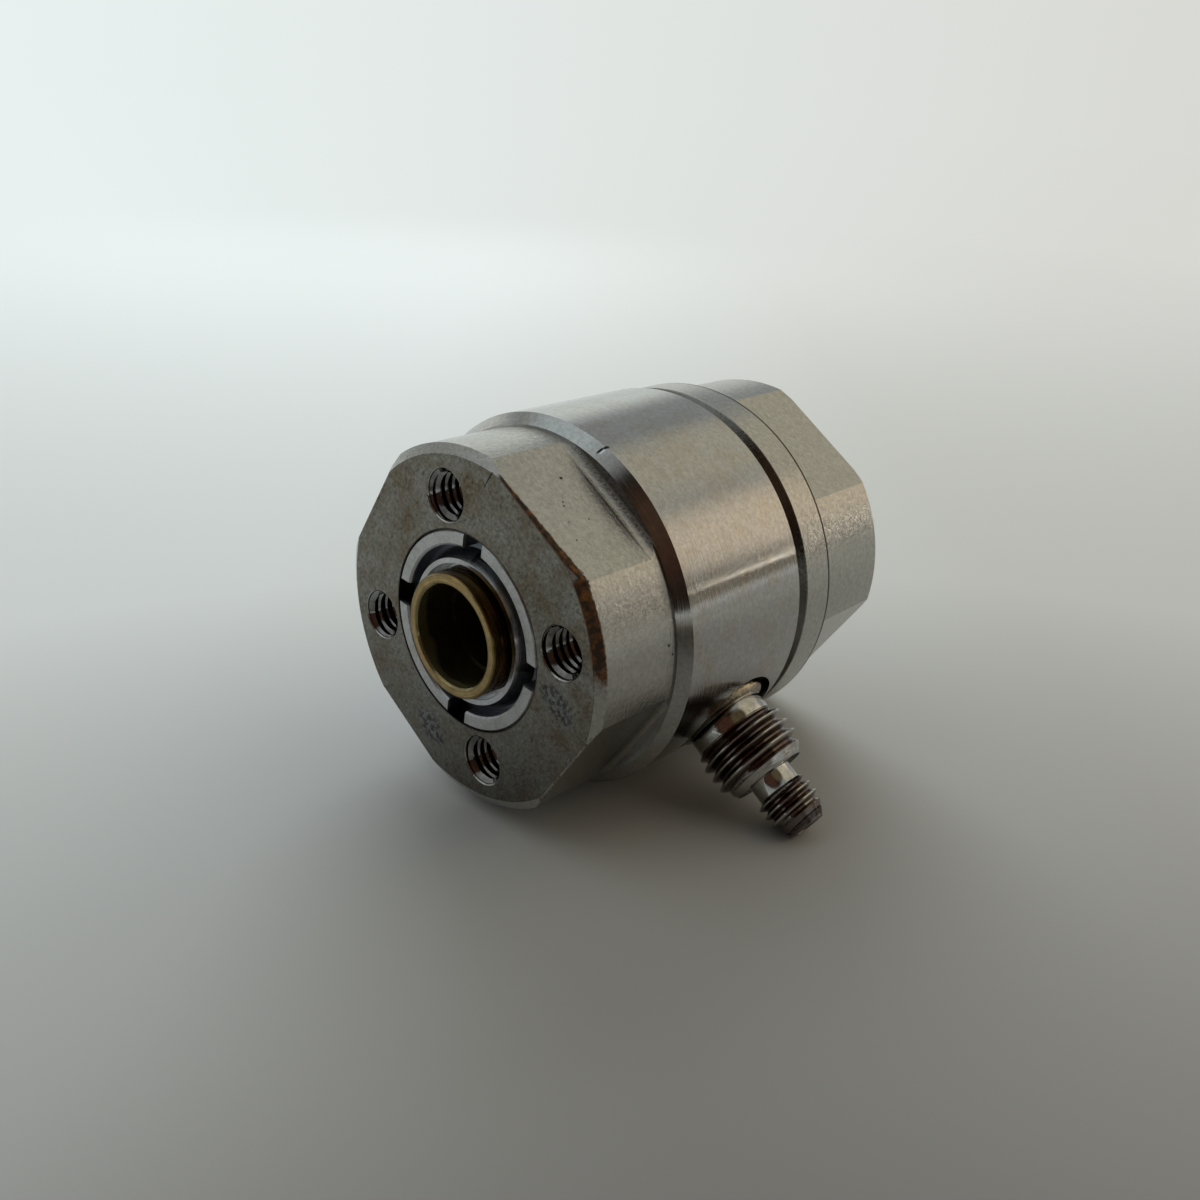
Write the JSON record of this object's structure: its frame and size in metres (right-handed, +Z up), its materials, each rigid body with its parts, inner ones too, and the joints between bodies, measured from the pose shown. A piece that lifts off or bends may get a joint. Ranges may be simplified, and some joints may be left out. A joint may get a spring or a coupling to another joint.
{
  "type": "piezoelectric force transducer",
  "caption": "Cylindrical steel force sensor: a quartz cell clamped between two flats-milled end flanges by a hollow bolt, with a threaded side connector.",
  "frame": {"origin": "on the sensor's axis, at the centre of the front end face", "axes": "+Y along the sensor's axis from the front face to the rear; +Z up as the sensor lies on its case and the connector's tip; +X to the connector's side"},
  "size_m": [0.0386, 0.0373, 0.0312],
  "materials": {
    "flange_steel": "ground stainless steel, mottled and stained, rust along one front edge",
    "case_steel": "fine-ground stainless steel with a bright turned cone",
    "sleeve_steel": "turned stainless steel",
    "nut_steel": "turned and polished stainless steel",
    "ring_brass": "turned brass, tarnished brown outside",
    "plate_steel": "lapped steel",
    "quartz": "lapped crystal quartz",
    "gold_plate": "gold plated",
    "peek": "turned insulating plastic",
    "ptfe": "turned white fluoroplastic",
    "seal_steel": "thin-walled welded steel, heat tinted",
    "socket_steel": "turned steel with a weld-grained collar",
    "connector_steel": "polished turned stainless steel",
    "alumina": "sintered alumina bead",
    "dowel_steel": "hardened ground steel"
  },
  "bodies": {
    "root": {"front_flange": "flange_steel", "rear_flange": "flange_steel", "preload_sleeve": "sleeve_steel", "ring_nut": "nut_steel", "centring_ring": "ring_brass", "cell_case": "case_steel", "front_load_plate": "plate_steel", "rear_load_plate": "plate_steel", "front_quartz_ring": "quartz", "rear_quartz_ring": "quartz", "electrode": "gold_plate", "outer_insulator": "peek", "inner_insulator": "ptfe", "seal_ring": "seal_steel", "connector_socket": "socket_steel", "connector_body": "connector_steel", "connector_insulator": "ptfe", "centre_contact": "gold_plate", "feedthrough_insulator": "alumina", "electrode_lead": "gold_plate", "front_dowels": "dowel_steel", "rear_dowels": "dowel_steel"}
  },
  "joints": []
}
